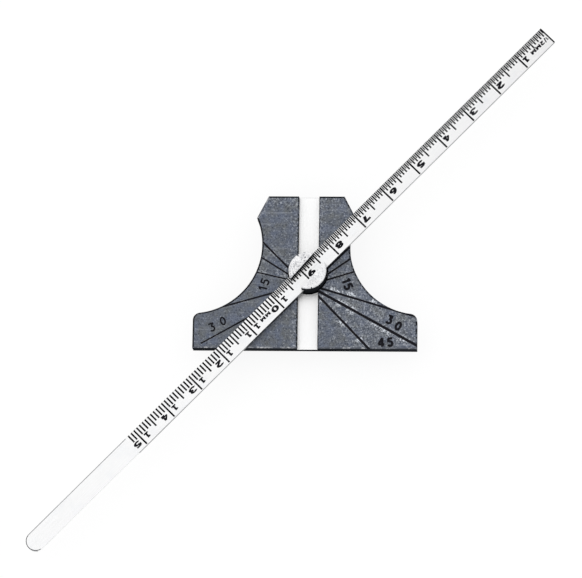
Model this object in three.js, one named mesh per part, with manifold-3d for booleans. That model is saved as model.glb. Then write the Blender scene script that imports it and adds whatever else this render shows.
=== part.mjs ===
// Angle and depth gauge: a bell-shaped steel head, a narrow rule that slides and swings in a slotted
// turret, and a knurled nut behind the head that clamps both at once.
// Millimetres, +Z up. The gauge lies on its nut with the engraved face up. The origin is on the turret's
// axis, on the nut's outer face, and +Y runs from the measuring face at the base to the top of the head.

import * as THREE from "three";
import { mergeVertices } from "three/addons/utils/BufferGeometryUtils.js";
import Module from "manifold-3d";

const wasm = await Module();
wasm.setup();

// Head, seen on its engraved face
const headThickness = 3.8;
const baseWidth = 58.3;
const topWidth = 19.8;
const shoulderWidth = 25.8;
const baseDrop = 19.9; // turret axis down to the measuring face
const topRise = 20.5; // turret axis up to the top edge
const shoulderRise = 14.7;
const footHeight = 9.2; // base of the head below its hollow flanks
const flankRadius = 18.25;
const footCornerRadius = 2;
const outlineOffset = -0.65; // the outline's middle from the turret's axis, along X

// Groove that takes the rule when it is square to the base, and the engraved angle lines
const grooveDepth = 1.7;
const grooveSideGap = 0.06;
const angleLineDegrees = [15, 30, 45];
const angleLineWidth = 0.34;
const angleLineDepth = 0.14;

// Rule
const ruleLength = 190.4;
const ruleWidth = 5.2;
const ruleThickness = 1.2;
const zeroReach = 89; // turret axis to the zero end, as set in the rest position
const ruleLift = 0.4; // underside of the rule above the head's face
const ruleDegrees = 45.8;
const graduatedLength = 150;
const graduationPitch = 1;
const graduationWidth = 0.14;
const graduationDepth = 0.06;
const millimetreMark = 2;
const fiveMark = 3.2;
const tenMark = 4.8;
const marksPerFive = 5;
const marksPerTen = 10;

// Turret
const turretDiameter = 9.8;
const turretRise = 3.9; // top of the turret above the head's face
const turretChamfer = 0.18;
const windowWidth = 3.7;
const ruleSideGap = 0.1;
const ruleTopGap = 0.1;
const slotFloorDrop = 0.15; // slot floor below the head's face
const barrelRecess = 0.5; // lower end of the barrel above the head's back
const boreGap = 0.05;
const stemDiameter = 5;
const stemChamfer = 0.4;

// Leaf spring under the rule, in a pocket in the slot's floor
const springLength = 7.4;
const springWidth = 3.4;
const springThickness = 0.25;
const pocketDepth = 0.45;
const pocketGap = 0.2;
const springGap = 0.05;

// Clamp nut and the washers between it and the head
const nutDiameter = 14;
const nutHeight = 4.6;
const nutChamfer = 0.5;
const nutFloor = 1.2;
const nutBoreGap = 0.05;
const stemEndGap = 0.4;
const knurlCount = 44;
const knurlDepth = 0.28;
const knurlTipShare = 0.4; // of one knurl's pitch
const washerDiameter = 13.2;
const washerThickness = 0.5;
const washerBoreGap = 0.25;
const waveDiameter = 12.6;
const waveBoreGap = 0.7;
const waveThickness = 0.3;
const waveHeight = 0.8;
const waveCount = 3;
const stackGap = 0.05;

// Facets
const circleSteps = 64;
const flankSteps = 28;
const cornerSteps = 6;
const endSteps = 16;
const waveSteps = 48;
const leafSteps = 16;

const overrun = 1; // how far a cutter runs past what it cuts
const weldDistance = 0.0001;

// Heights of the stack, from the nut's outer face up
const washerBottom = nutHeight + stackGap;
const waveBottom = washerBottom + washerThickness + stackGap;
const headBack = waveBottom + waveHeight + stackGap;
const headFace = headBack + headThickness;
const ruleBottom = headFace + ruleLift;
const ruleTop = ruleBottom + ruleThickness;
const slotFloor = headFace - slotFloorDrop;
const slotCeiling = ruleTop + ruleTopGap;
const turretTop = headFace + turretRise;
const barrelBottom = headBack + barrelRecess;
const stemBottom = nutFloor + stemEndGap;
const pocketFloor = slotFloor - pocketDepth;

const turretRadius = turretDiameter / 2;
const stemRadius = stemDiameter / 2;
const slotWidth = ruleWidth + 2 * ruleSideGap;
const grooveWidth = ruleWidth + 2 * grooveSideGap;

// A closed geometry as a solid that can be cut and joined
function solidOf(geometry) {
  geometry.deleteAttribute("normal");
  geometry.deleteAttribute("uv");
  const welded = mergeVertices(geometry, weldDistance);
  const corners = [...welded.index.array];
  const kept = [];
  for (let i = 0; i < corners.length; i += 3) {
    const [a, b, c] = corners.slice(i, i + 3);
    if (a !== b && b !== c && c !== a) kept.push(a, b, c);
  }
  const vertProperties = Float32Array.from(welded.attributes.position.array);
  const triVerts = Uint32Array.from(kept);
  return new wasm.Manifold(new wasm.Mesh({ numProp: 3, vertProperties, triVerts }));
}

// A solid as a three.js geometry
function geometryOf(solid) {
  const { vertProperties, triVerts } = solid.getMesh();
  const geometry = new THREE.BufferGeometry();
  geometry.setAttribute("position", new THREE.BufferAttribute(vertProperties, 3));
  geometry.setIndex(new THREE.BufferAttribute(triVerts, 1));
  return geometry;
}

// Points along an arc, both ends included
function arc(centre, radius, from, to, steps) {
  return Array.from({ length: steps + 1 }, (_, i) => {
    const angle = from + (to - from) * (i / steps);
    return new THREE.Vector2(centre.x + radius * Math.cos(angle), centre.y + radius * Math.sin(angle));
  });
}

// An upright prism on an outline
function prism(outline, bottom, top) {
  const geometry = new THREE.ExtrudeGeometry(new THREE.Shape(outline), { depth: top - bottom, bevelEnabled: false });
  return solidOf(geometry.translate(0, 0, bottom));
}

// A block between two corners
function block(low, high) {
  const size = new THREE.Vector3().subVectors(high, low);
  const geometry = new THREE.BoxGeometry(size.x, size.y, size.z);
  geometry.translate((low.x + high.x) / 2, (low.y + high.y) / 2, (low.z + high.z) / 2);
  return solidOf(geometry);
}

// A solid turned about the Z axis from a profile of [radius, height] pairs
function turned(profile) {
  const points = profile.map(([radius, height]) => new THREE.Vector2(radius, height));
  return solidOf(new THREE.LatheGeometry(points, circleSteps).rotateX(Math.PI / 2));
}

function cylinder(radius, bottom, top) {
  return turned([[0, bottom], [radius, bottom], [radius, top], [0, top]]);
}

// The head's outline: straight base and top, slanted shoulders, hollow flanks that run into rounded foot corners
function headOutline() {
  const baseHalf = baseWidth / 2;
  const shoulder = new THREE.Vector2(shoulderWidth / 2, shoulderRise);
  const flank = new THREE.Vector2();
  flank.y = footHeight - baseDrop + flankRadius;
  flank.x = shoulder.x + Math.sqrt(flankRadius ** 2 - (shoulder.y - flank.y) ** 2);
  const corner = new THREE.Vector2();
  corner.x = baseHalf - footCornerRadius;
  corner.y = flank.y - Math.sqrt((flankRadius + footCornerRadius) ** 2 - (flank.x - corner.x) ** 2);
  const meeting = Math.atan2(flank.y - corner.y, flank.x - corner.x);
  const shoulderAngle = Math.atan2(shoulder.y - flank.y, shoulder.x - flank.x);
  const right = [
    new THREE.Vector2(baseHalf, -baseDrop),
    ...arc(corner, footCornerRadius, 0, meeting, cornerSteps),
    ...arc(flank, flankRadius, meeting + Math.PI, shoulderAngle, flankSteps).slice(1),
    new THREE.Vector2(topWidth / 2, topRise),
  ];
  const left = right.map((point) => new THREE.Vector2(-point.x, point.y)).reverse();
  const middle = new THREE.Vector2(outlineOffset, 0);
  return [...right, ...left].map((point) => point.add(middle));
}

// One angle line runs right across the head, where the rule's lower edge lies when it is set to that angle
function angleLine(degrees) {
  const reach = baseWidth;
  const low = new THREE.Vector3(-reach, -ruleWidth / 2 - angleLineWidth / 2, headFace - angleLineDepth);
  const high = new THREE.Vector3(reach, -ruleWidth / 2 + angleLineWidth / 2, headFace + overrun);
  return block(low, high).rotate([0, 0, degrees]);
}

function head() {
  const groove = block(
    new THREE.Vector3(-grooveWidth / 2, -baseDrop - overrun, headFace - grooveDepth),
    new THREE.Vector3(grooveWidth / 2, topRise + overrun, headFace + overrun),
  );
  const bore = cylinder(turretRadius + boreGap, headBack - overrun, headFace + overrun);
  let plate = prism(headOutline(), headBack, headFace).subtract(groove).subtract(bore);
  for (const degrees of angleLineDegrees) {
    plate = plate.subtract(angleLine(degrees)).subtract(angleLine(-degrees));
  }
  return plate;
}

// The rule lies along its own X axis with the zero end at +X and a fully rounded blank end at -X
function ruleOutline() {
  const half = ruleWidth / 2;
  const roundCentre = new THREE.Vector2(zeroReach - ruleLength + half, 0);
  return [
    new THREE.Vector2(zeroReach, -half),
    new THREE.Vector2(zeroReach, half),
    ...arc(roundCentre, half, Math.PI / 2, Math.PI * 1.5, endSteps),
  ];
}

function graduationLength(count) {
  if (count % marksPerTen === 0) return tenMark;
  if (count % marksPerFive === 0) return fiveMark;
  return millimetreMark;
}

function rule() {
  const edge = ruleWidth / 2;
  const marks = [];
  for (let count = 1; count * graduationPitch <= graduatedLength; count += 1) {
    const x = zeroReach - count * graduationPitch;
    const low = new THREE.Vector3(x - graduationWidth / 2, edge - graduationLength(count), ruleTop - graduationDepth);
    const high = new THREE.Vector3(x + graduationWidth / 2, edge + overrun, ruleTop + overrun);
    marks.push(block(low, high));
  }
  return prism(ruleOutline(), ruleBottom, ruleTop).subtract(wasm.Manifold.union(marks));
}

// Turret: a barrel that turns in the head, with the rule's slot across it, and a stem for the nut
function turret() {
  const blank = turned([
    [0, stemBottom],
    [stemRadius - stemChamfer, stemBottom],
    [stemRadius, stemBottom + stemChamfer],
    [stemRadius, barrelBottom],
    [turretRadius, barrelBottom],
    [turretRadius, turretTop - turretChamfer],
    [turretRadius - turretChamfer, turretTop],
    [0, turretTop],
  ]);
  const reach = turretRadius + overrun;
  const chamber = block(
    new THREE.Vector3(-reach, -slotWidth / 2, slotFloor),
    new THREE.Vector3(reach, slotWidth / 2, slotCeiling),
  );
  const window = block(
    new THREE.Vector3(-reach, -windowWidth / 2, slotFloor),
    new THREE.Vector3(reach, windowWidth / 2, turretTop + overrun),
  );
  const pocketHalfLength = springLength / 2 + pocketGap;
  const pocketHalfWidth = springWidth / 2 + pocketGap;
  const pocket = block(
    new THREE.Vector3(-pocketHalfLength, -pocketHalfWidth, pocketFloor),
    new THREE.Vector3(pocketHalfLength, pocketHalfWidth, slotFloor + ruleTopGap),
  );
  return blank.subtract(chamber).subtract(window).subtract(pocket);
}

// A leaf that rises in one smooth hump from flat feet, so that it presses the rule up against the turret's lips
function ruleSpring() {
  const bottom = pocketFloor + springGap;
  const rise = ruleBottom - springGap - springThickness - bottom;
  const under = Array.from({ length: leafSteps + 1 }, (_, i) => {
    const share = i / leafSteps - 0.5;
    return new THREE.Vector2(share * springLength, bottom + (rise / 2) * (1 + Math.cos(2 * Math.PI * share)));
  });
  const over = under.map((point) => new THREE.Vector2(point.x, point.y + springThickness)).reverse();
  const shape = new THREE.Shape([...under, ...over]);
  const geometry = new THREE.ExtrudeGeometry(shape, { depth: springWidth, bevelEnabled: false });
  return solidOf(geometry.rotateX(Math.PI / 2).translate(0, springWidth / 2, 0));
}

// A ring of [radius, height] sections, one for each step round the Z axis
function ring(sectionAt, steps) {
  const positions = [];
  const index = [];
  for (let i = 0; i < steps; i += 1) {
    const angle = (2 * Math.PI * i) / steps;
    const section = sectionAt(angle);
    const count = section.length;
    section.forEach(([radius, height], j) => {
      positions.push(radius * Math.cos(angle), radius * Math.sin(angle), height);
      const here = i * count;
      const next = ((i + 1) % steps) * count;
      const k = (j + 1) % count;
      index.push(here + j, next + j, next + k, here + j, next + k, here + k);
    });
  }
  const geometry = new THREE.BufferGeometry();
  geometry.setAttribute("position", new THREE.Float32BufferAttribute(positions, 3));
  geometry.setIndex(index);
  return solidOf(geometry);
}

function thrustWasher() {
  const inner = stemRadius + washerBoreGap;
  const outer = washerDiameter / 2;
  const top = washerBottom + washerThickness;
  return ring(() => [[inner, washerBottom], [outer, washerBottom], [outer, top], [inner, top]], circleSteps);
}

// A spring washer whose thin ring rises and falls round the stem
function waveWasher() {
  const inner = stemRadius + waveBoreGap;
  const outer = waveDiameter / 2;
  const swing = (waveHeight - waveThickness) / 2;
  return ring((angle) => {
    const low = waveBottom + swing * (1 + Math.cos(waveCount * angle));
    const high = low + waveThickness;
    return [[inner, low], [outer, low], [outer, high], [inner, high]];
  }, waveSteps);
}

// Clamp nut: a knurled cap with chamfered rims and a blind bore for the stem
function clampNut() {
  const radius = nutDiameter / 2;
  const pitch = (2 * Math.PI) / knurlCount;
  const outline = [];
  for (let i = 0; i < knurlCount; i += 1) {
    const tip = (pitch * knurlTipShare) / 2;
    for (const [offset, reach] of [[-tip, radius], [tip, radius], [pitch / 2, radius - knurlDepth]]) {
      const angle = i * pitch + offset;
      outline.push(new THREE.Vector2(reach * Math.cos(angle), reach * Math.sin(angle)));
    }
  }
  const blank = turned([
    [0, 0],
    [radius - nutChamfer, 0],
    [radius, nutChamfer],
    [radius, nutHeight - nutChamfer],
    [radius - nutChamfer, nutHeight],
    [0, nutHeight],
  ]);
  const bore = cylinder(stemRadius + nutBoreGap, nutFloor, nutHeight + overrun);
  return prism(outline, 0, nutHeight).intersect(blank).subtract(bore);
}

function steel(color, roughness) {
  return new THREE.MeshStandardMaterial({ color, roughness, metalness: 1, flatShading: true });
}

function piece(name, solid, material) {
  const mesh = new THREE.Mesh(geometryOf(solid), material);
  mesh.name = name;
  return mesh;
}

const bluedSteel = steel(0x59616b, 0.55);
const satinSteel = steel(0xd9dbdc, 0.35);
const turnedSteel = steel(0xc4c6c8, 0.4);
const springSteel = steel(0x8f949b, 0.3);

const gauge = new THREE.Group();
gauge.add(piece("head", head(), bluedSteel));

const swung = new THREE.Group();
swung.rotation.z = THREE.MathUtils.degToRad(ruleDegrees);
swung.add(piece("turret", turret(), turnedSteel));
swung.add(piece("rule_spring", ruleSpring(), springSteel));
swung.add(piece("rule", rule(), satinSteel));
swung.add(piece("wave_washer", waveWasher(), springSteel));
swung.add(piece("thrust_washer", thrustWasher(), turnedSteel));
swung.add(piece("clamp_nut", clampNut(), turnedSteel));
gauge.add(swung);

export default gauge;
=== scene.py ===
import math

import bpy
from mathutils import Matrix, Vector


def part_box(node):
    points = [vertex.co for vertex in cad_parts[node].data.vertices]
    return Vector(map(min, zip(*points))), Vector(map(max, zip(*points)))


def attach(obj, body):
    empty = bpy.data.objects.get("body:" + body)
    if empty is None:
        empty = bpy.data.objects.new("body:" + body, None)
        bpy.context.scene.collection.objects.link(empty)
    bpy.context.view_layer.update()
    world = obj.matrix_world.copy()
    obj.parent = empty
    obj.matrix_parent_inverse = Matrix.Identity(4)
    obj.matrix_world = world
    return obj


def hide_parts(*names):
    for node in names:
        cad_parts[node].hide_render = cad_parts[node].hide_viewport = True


mm = 0.001
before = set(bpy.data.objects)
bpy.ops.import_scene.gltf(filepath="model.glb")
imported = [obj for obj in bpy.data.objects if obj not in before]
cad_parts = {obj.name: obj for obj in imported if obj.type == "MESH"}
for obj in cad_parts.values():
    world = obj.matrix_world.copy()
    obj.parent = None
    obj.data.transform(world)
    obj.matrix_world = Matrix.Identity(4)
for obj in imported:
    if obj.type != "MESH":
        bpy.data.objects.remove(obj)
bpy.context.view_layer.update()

# What all pieces share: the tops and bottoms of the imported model, in metres
headBack, headFace = (corner.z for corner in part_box("head"))
ruleBottom, ruleTop = (corner.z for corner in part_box("rule"))
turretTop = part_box("turret")[1].z
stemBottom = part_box("turret")[0].z
ruleTurn = math.radians(45.8)
ruleWidth = 5.2 * mm
overrun = 1 * mm  # how far a cutter reaches past what it cuts
barelyAbove = 0.001 * mm  # too little to be seen


# Small helpers for pieces and for edit mode


def deselectAll():
    for item in list(bpy.context.selected_objects):
        item.select_set(False)


def activate(piece):
    deselectAll()
    piece.select_set(True)
    bpy.context.view_layer.objects.active = piece


# Names the piece just added and applies its place and size
def takeNew(name, material=None, size=(1, 1, 1)):
    piece = bpy.context.object
    piece.name = name
    piece.data.name = name
    piece.scale = size
    bpy.ops.object.transform_apply(location=True, rotation=True, scale=True)
    if material:
        piece.data.materials.append(material)
    return piece


def applyModifier(piece, kind, **values):
    activate(piece)
    modifier = piece.modifiers.new("change", kind)
    for key, value in values.items():
        setattr(modifier, key, value)
    bpy.ops.object.modifier_apply(modifier=modifier.name)


def enterEdit(piece):
    activate(piece)
    bpy.ops.object.mode_set(mode="EDIT")
    bpy.ops.mesh.select_all(action="SELECT")


def leaveEdit():
    bpy.ops.object.mode_set(mode="OBJECT")


# Leaves the piece in edit mode with the faces selected whose normals, or the edges whose ends, pass the test
def pick(piece, kind, test):
    enterEdit(piece)
    bpy.ops.mesh.select_mode(type=kind)
    bpy.ops.mesh.select_all(action="DESELECT")
    leaveEdit()
    if kind == "FACE":
        for face in piece.data.polygons:
            face.select = test(face.normal)
    else:
        for edge in piece.data.edges:
            edge.select = test(*(piece.data.vertices[i].co for i in edge.vertices))
    bpy.ops.object.mode_set(mode="EDIT")


def faceOutwards():
    bpy.ops.mesh.select_all(action="SELECT")
    bpy.ops.mesh.normals_make_consistent(inside=False)
    leaveEdit()


def extrudeFaces(height):
    bpy.ops.mesh.extrude_region_move(TRANSFORM_OT_translate={"value": (0, 0, height)})


# Cuts a piece's faces along a plane and, if asked to, takes off what lies beyond it
def slicePiece(piece, place, normal, takeOff=False):
    enterEdit(piece)
    bpy.ops.mesh.bisect(plane_co=place, plane_no=normal, clear_outer=takeOff)
    leaveEdit()


def close(a, b):
    return abs(a - b) < barelyAbove


def bevelRim(piece, level, width, segments=1):
    pick(piece, "EDGE", lambda a, b: close(a.z, level) and close(b.z, level))
    bpy.ops.mesh.bevel(offset=width, segments=segments, profile=0.5, affect="EDGES")
    leaveEdit()


# A path that starts as one point, left in edit mode to be drawn on
def startPath(name, x, y, z):
    deselectAll()
    bpy.ops.mesh.primitive_plane_add(size=1 * mm, location=(0, 0, 0))
    path = takeNew(name)
    bpy.ops.object.mode_set(mode="EDIT")
    bpy.ops.mesh.select_mode(type="VERT")
    bpy.ops.mesh.select_all(action="SELECT")
    bpy.ops.mesh.merge(type="CENTER")
    bpy.ops.transform.translate(value=(x, y, z))
    return path


def drawOn(dx, dy):
    bpy.ops.mesh.extrude_vertices_move(TRANSFORM_OT_translate={"value": (dx, dy, 0)})


# A block between two corners
def addBlock(name, low, high, material):
    deselectAll()
    middle = [(a + b) / 2 for a, b in zip(low, high)]
    bpy.ops.mesh.primitive_cube_add(size=1, location=middle)
    return takeNew(name, material, [b - a for a, b in zip(low, high)])


def addRod(name, radius, low, high, steps, material):
    deselectAll()
    middle = (0, 0, (low + high) / 2)
    bpy.ops.mesh.primitive_cylinder_add(vertices=steps, radius=radius, depth=high - low, location=middle)
    return takeNew(name, material)


def turnPiece(piece, angle):
    piece.data.transform(Matrix.Rotation(angle, 4, "Z"))


def joined(pieces):
    deselectAll()
    for piece in pieces:
        piece.select_set(True)
    bpy.context.view_layer.objects.active = pieces[0]
    bpy.ops.object.join()
    return pieces[0]


# Cuts a closed cutter out of a piece; the cut takes the cutter's materials
def cutOut(piece, cutter):
    cut = {"operation": "DIFFERENCE", "solver": "EXACT", "material_mode": "TRANSFER"}
    applyModifier(piece, "BOOLEAN", object=cutter, **cut)
    bpy.data.objects.remove(cutter, do_unlink=True)


def softenEdges(piece, width, segments=2, material=-1, degrees=30):
    limit = {"limit_method": "ANGLE", "angle_limit": math.radians(degrees)}
    applyModifier(piece, "BEVEL", width=width, segments=segments, material=material, **limit)


def materialIndex(piece, material):
    return piece.data.materials.find(material.name)


# Gives another material to the faces that the test accepts
def repaint(piece, material, test):
    if materialIndex(piece, material) < 0:
        piece.data.materials.append(material)
    index = materialIndex(piece, material)
    for face in piece.data.polygons:
        if test(face):
            face.material_index = index


def finishPiece(piece, node, body, smoothDegrees=12):
    activate(piece)
    bpy.ops.object.shade_smooth_by_angle(angle=math.radians(smoothDegrees))
    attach(piece, body)
    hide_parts(node)
    print("made", piece.name, len(piece.data.polygons), "faces")


# Small helpers for shaders


# Feeds a node's inputs: sockets are linked, numbers and vectors are set, and a colour gets its alpha
def feed(tree, node, inputs):
    for label, value in inputs.items():
        socket = node.inputs[label]
        if isinstance(value, bpy.types.NodeSocket):
            tree.links.new(value, socket)
        elif socket.type == "RGBA":
            socket.default_value = (*value, 1)
        else:
            socket.default_value = value


def addNode(tree, kind, inputs=None, **values):
    node = tree.nodes.new(kind)
    for key, value in values.items():
        setattr(node, key, value)
    feed(tree, node, inputs or {})
    return node


def noiseNode(tree, vector, scale, detail, roughness=0.5):
    inputs = {"Vector": vector, "Scale": scale, "Detail": detail, "Roughness": roughness}
    return addNode(tree, "ShaderNodeTexNoise", inputs).outputs["Fac"]


def mathNode(tree, operation, *values, clamp=False):
    inputs = dict(enumerate(values))
    return addNode(tree, "ShaderNodeMath", inputs, operation=operation, use_clamp=clamp).outputs[0]


def rampNode(tree, value, fromLow, fromHigh, toLow, toHigh):
    inputs = {"Value": value, "From Min": fromLow, "From Max": fromHigh, "To Min": toLow, "To Max": toHigh}
    return addNode(tree, "ShaderNodeMapRange", inputs, clamp=True).outputs["Result"]


def splitNode(tree, vector):
    split = addNode(tree, "ShaderNodeSeparateXYZ", {"Vector": vector})
    return [split.outputs[axis] for axis in "XYZ"]


# How far a point is from the Z axis
def radiusNode(tree, x, y):
    squares = (mathNode(tree, "MULTIPLY", x, x), mathNode(tree, "MULTIPLY", y, y))
    return mathNode(tree, "SQRT", mathNode(tree, "ADD", *squares))


def mappingNode(tree, vector, label, value):
    return addNode(tree, "ShaderNodeMapping", {"Vector": vector, label: value}).outputs["Vector"]


def groupNode(tree, group, inputs):
    return addNode(tree, "ShaderNodeGroup", inputs, node_tree=group).outputs


def mixColours(tree, share, first, second):
    return addNode(tree, "ShaderNodeMix", {0: share, 6: first, 7: second}, data_type="RGBA").outputs[2]


def addBump(tree, shader, height, distance, strength):
    bump = addNode(tree, "ShaderNodeBump", {"Height": height, "Distance": distance, "Strength": strength})
    feed(tree, shader, {"Normal": bump.outputs["Normal"]})


# A shader group that takes a vector and numbers, whose usual values are given, and gives masks
def newGroup(name, numbers, masks):
    group = bpy.data.node_groups.new(name, "ShaderNodeTree")
    group.interface.new_socket(name="Vector", in_out="INPUT", socket_type="NodeSocketVector")
    for label, value in numbers.items():
        socket = group.interface.new_socket(name=label, in_out="INPUT", socket_type="NodeSocketFloat")
        socket.default_value = value
    for label in masks:
        group.interface.new_socket(name=label, in_out="OUTPUT", socket_type="NodeSocketFloat")
    return group, group.nodes.new("NodeGroupInput").outputs, group.nodes.new("NodeGroupOutput")


# Fine grain of cast or blasted steel: a mottle, a grain and fine scratches along one direction
def makeGrainGroup():
    numbers = {"Grain Scale": 4000, "Mottle Scale": 600, "Scratch Scale": 3000}
    group, given, end = newGroup("steelGrain", numbers, ("Grain", "Mottle", "Scratches"))
    stretched = mappingNode(group, given["Vector"], "Scale", (0.04, 1, 1))
    masks = {
        "Grain": noiseNode(group, given["Vector"], given["Grain Scale"], 3, 0.65),
        "Mottle": noiseNode(group, given["Vector"], given["Mottle Scale"], 4, 0.6),
        "Scratches": noiseNode(group, stretched, given["Scratch Scale"], 2, 0.6),
    }
    feed(group, end, masks)
    return group


# Fine circles that a lathe leaves round the turret's axis
def makeLatheGroup():
    group, given, end = newGroup("latheRings", {"Rings Per Metre": 9000}, ("Rings",))
    x, y, z = splitNode(group, given["Vector"])
    place = addNode(group, "ShaderNodeCombineXYZ", {"X": mathNode(group, "ADD", radiusNode(group, x, y), z)})
    rings = noiseNode(group, place.outputs["Vector"], given["Rings Per Metre"], 3, 0.7)
    feed(group, end, {"Rings": rings})
    return group


# Small dark pits, scattered
def makePitGroup():
    group, given, end = newGroup("darkPits", {"Scale": 700, "Size": 0.16}, ("Mask",))
    inputs = {"Vector": given["Vector"], "Scale": given["Scale"]}
    cells = addNode(group, "ShaderNodeTexVoronoi", inputs, feature="F1")
    near = mathNode(group, "LESS_THAN", cells.outputs["Distance"], given["Size"])
    chosen = mathNode(group, "GREATER_THAN", noiseNode(group, given["Vector"], 260, 1), 0.52)
    feed(group, end, {"Mask": mathNode(group, "MULTIPLY", near, chosen)})
    return group


# The head's engraved lines; each has a part to the left and a part to the right of the turret
angleLine = {
    "burredAndGlinting": (-15, -30, -45),  # have bright patches beside them: bare steel of burrs, with painted highlights
    # Left and right of the turret: the width in millimetres, by how many degrees the line strays from its
    # angle and how far below its place it lies
    "cut": {
        -45: ((0.46, 0, 0), (0.6, -1.25, -0.45)),
        -30: ((0.4, -2.15, 0.35), (0.68, 0.96, 0.15)),
        -15: ((0.36, 1.9, 0.19), (0.52, -1.6, 0.22)),
        15: ((0.42, 1, -0.07), (0.45, 2.2, 0.48)),
        30: ((0.4, -0.55, 0.11), (0.5, 4.8, 0.43)),
        45: ((0.46, 0, 0), (0.46, 0, 0)),
    },
    "leftReach": {30: 33.2 * mm},
    "depth": 0.12 * mm,
    "burrAndGlint": 0.06 * mm,
    "burrDepth": 0.03 * mm,
}

# Where the head's oxide is thin: from where to where in millimetres, and how thin at either end, 0 to 1
thinPlaces = {
    "fromGroove": (0, 2.2, 0.75, 0),
    "fromTurret": (0, 4.5, 0.85, 0),
    "top": (17.5, 20.4, 0, 0.9),
    "slant": (17.2, 18.7, 0, 0.9),  # by the slanted edge, along slantNormal
    "upper": (8, 12, 0, 1),  # where the slanted edge's thinning sets in
    "right": (3, 14, 0, 0.5),
}
slantNormal = (-0.888, 0.459)


def thinning(tree, distance, place):
    start, end, *shares = thinPlaces[place]
    return rampNode(tree, distance, start * mm, end * mm, *shares)


def makeWearGroup():
    numbers = {"Groove Half": 2.66 * mm, "Turret Radius": 4.9 * mm}
    group, given, end = newGroup("thinOxide", numbers, ("Mask",))
    x, y, z = splitNode(group, given["Vector"])
    fromGroove = mathNode(group, "SUBTRACT", mathNode(group, "ABSOLUTE", x), given["Groove Half"])
    fromTurret = mathNode(group, "SUBTRACT", radiusNode(group, x, y), given["Turret Radius"])
    parts = [mathNode(group, "MULTIPLY", axis, share) for axis, share in zip((x, y), slantNormal)]
    slant = thinning(group, mathNode(group, "ADD", *parts), "slant")
    mask = mathNode(group, "MULTIPLY", slant, thinning(group, y, "upper"))
    for distance, place in ((fromGroove, "fromGroove"), (fromTurret, "fromTurret"), (y, "top"), (x, "right")):
        mask = mathNode(group, "MAXIMUM", mask, thinning(group, distance, place))
    feed(group, end, {"Mask": mask})
    return group


# How near a point is to one of the lines cut across the head
def makeLineGroup():
    numbers = {"Angle": 0.5, "Offset": ruleWidth / 2, "Reach": 1 * mm}
    group, given, end = newGroup("besideLine", numbers, ("Mask",))
    inputs = {"Vector": given["Vector"], "Angle": given["Angle"]}
    turned = addNode(group, "ShaderNodeVectorRotate", inputs, rotation_type="Z_AXIS", invert=True)
    x, y, z = splitNode(group, turned.outputs["Vector"])
    below = mathNode(group, "ADD", y, given["Offset"])
    share = mathNode(group, "DIVIDE", mathNode(group, "ABSOLUTE", below), given["Reach"])
    feed(group, end, {"Mask": rampNode(group, share, 0.25, 1, 1, 0)})
    return group


grainGroup = makeGrainGroup()
latheGroup = makeLatheGroup()
pitGroup = makePitGroup()
thinOxideGroup = makeWearGroup()
besideLineGroup = makeLineGroup()


def newMaterial(name, metallic, roughness, specular=0.5):
    material = bpy.data.materials.new(name)
    material.use_nodes = True
    tree = material.node_tree
    shader = tree.nodes["Principled BSDF"]
    feed(tree, shader, {"Metallic": metallic, "Roughness": roughness, "Specular IOR Level": specular})
    place = addNode(tree, "ShaderNodeTexCoord").outputs["Object"]
    return material, tree, shader, place


# The scales are of the grain, the mottle and the scratches
def grainNode(tree, place, scales):
    labels = ("Grain Scale", "Mottle Scale", "Scratch Scale")
    return groupNode(tree, grainGroup, {"Vector": place, **dict(zip(labels, scales))})


# The head's oxide finish: blue-grey, mottled, with a fine grain, bare specks where it is thin, and bright
# patches
# beside the cut lines: partly bare steel thrown up as burrs, partly a painted highlight, stronger to the
# right
def makeBluedSteel():
    look = {
        "scales": (2700, 300, 1500),
        "cool": (0.142, 0.164, 0.217),
        "warm": (0.176, 0.188, 0.2),
        "pale": (0.5, 0.525, 0.57),
        "dark": (0.04, 0.046, 0.064),
        "bareAndGlint": (0.84, 0.88, 0.95),
        "roughness": (0.46, 0.62),
        "thinShare": 0.12,
        "burrGlintReach": 1.4 * mm,
    }
    material, tree, shader, place = newMaterial("bluedSteel", 0.85, 0.5)
    grain = grainNode(tree, place, look["scales"])
    base = mixColours(tree, rampNode(tree, grain["Mottle"], 0.38, 0.64, 0, 1), look["cool"], look["warm"])
    base = mixColours(tree, rampNode(tree, grain["Grain"], 0.47, 0.32, 0, 0.95), base, look["dark"])
    base = mixColours(tree, rampNode(tree, grain["Scratches"], 0.58, 0.76, 0, 0.3), base, look["pale"])
    thin = groupNode(tree, thinOxideGroup, {"Vector": place})["Mask"]
    grains = mathNode(tree, "ADD", grain["Grain"], mathNode(tree, "MULTIPLY", thin, look["thinShare"]))
    base = mixColours(tree, rampNode(tree, grains, 0.59, 0.74, 0, 1), base, look["pale"])
    # Painted highlight beside the cut lines, partly bare steel of burrs: in patches and flecks, stronger to
    # the right
    burrAndGlint = 0
    for degrees in angleLine["burredAndGlinting"]:
        inputs = {"Vector": place, "Angle": math.radians(degrees), "Reach": look["burrGlintReach"]}
        burrAndGlint = mathNode(tree, "MAXIMUM", burrAndGlint, groupNode(tree, besideLineGroup, inputs)["Mask"])
    patches = rampNode(tree, grain["Mottle"], 0.51, 0.56, 0, 1)
    flecks = rampNode(tree, grain["Grain"], 0.46, 0.53, 0, 1)
    burrAndGlint = mathNode(tree, "MULTIPLY", burrAndGlint, mathNode(tree, "MULTIPLY", patches, flecks))
    right = rampNode(tree, splitNode(tree, place)[0], -2 * mm, 2 * mm, 0.25, 1)
    base = mixColours(tree, mathNode(tree, "MULTIPLY", burrAndGlint, right), base, look["bareAndGlint"])
    rough = rampNode(tree, grain["Mottle"], 0.35, 0.65, *look["roughness"])
    feed(tree, shader, {"Base Color": base, "Roughness": rough})
    addBump(tree, shader, grain["Grain"], 0.02 * mm, 0.6)
    return material
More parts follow.
